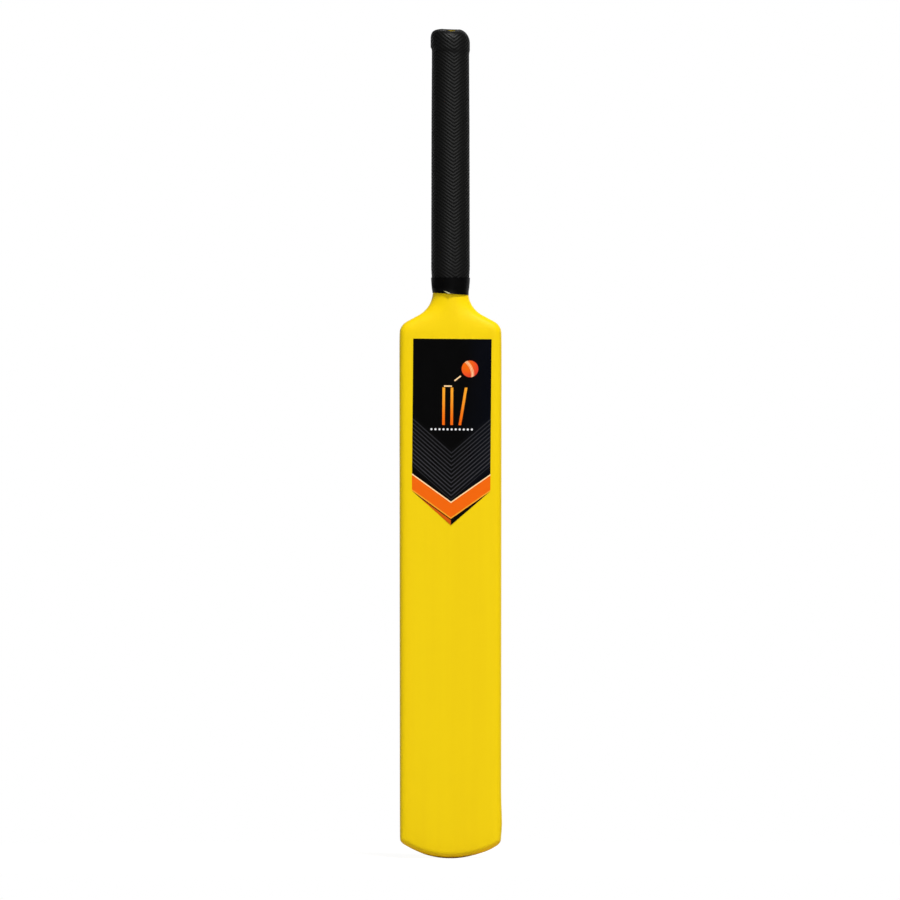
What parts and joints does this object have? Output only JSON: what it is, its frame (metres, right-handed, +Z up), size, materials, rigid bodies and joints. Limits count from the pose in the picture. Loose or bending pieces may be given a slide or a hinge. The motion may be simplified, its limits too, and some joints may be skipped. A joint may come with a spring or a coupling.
{
  "type": "plastic cricket bat",
  "caption": "Full-size hollow moulded plastic cricket bat with a scooped, spined back, a ribbed rubber grip, binding tape at the neck and a sticker on the hitting face.",
  "frame": {"origin": "under the middle of the bat's width and depth, at the lowest point of the toe", "axes": "+Z up the bat from the toe to the handle's end, -Y out of the hitting face, +Y out of the spined back, +X to the right as the hitting face is looked at"},
  "size_m": [0.106, 0.0512, 0.86],
  "materials": {
    "moulded_plastic": "satin blow-moulded yellow polyethylene",
    "plug_plastic": "satin yellow polyethylene",
    "grip_rubber": "matt black rubber with herringbone ribs",
    "tape_vinyl": "smooth black vinyl tape",
    "sticker_vinyl": "gloss printed vinyl, black with grey and orange chevrons"
  },
  "bodies": {
    "root": {"blade_shell": "moulded_plastic", "handle_end_plug": "plug_plastic", "grip_sleeve": "grip_rubber", "binding_tape": "tape_vinyl", "face_sticker": "sticker_vinyl"}
  },
  "joints": []
}
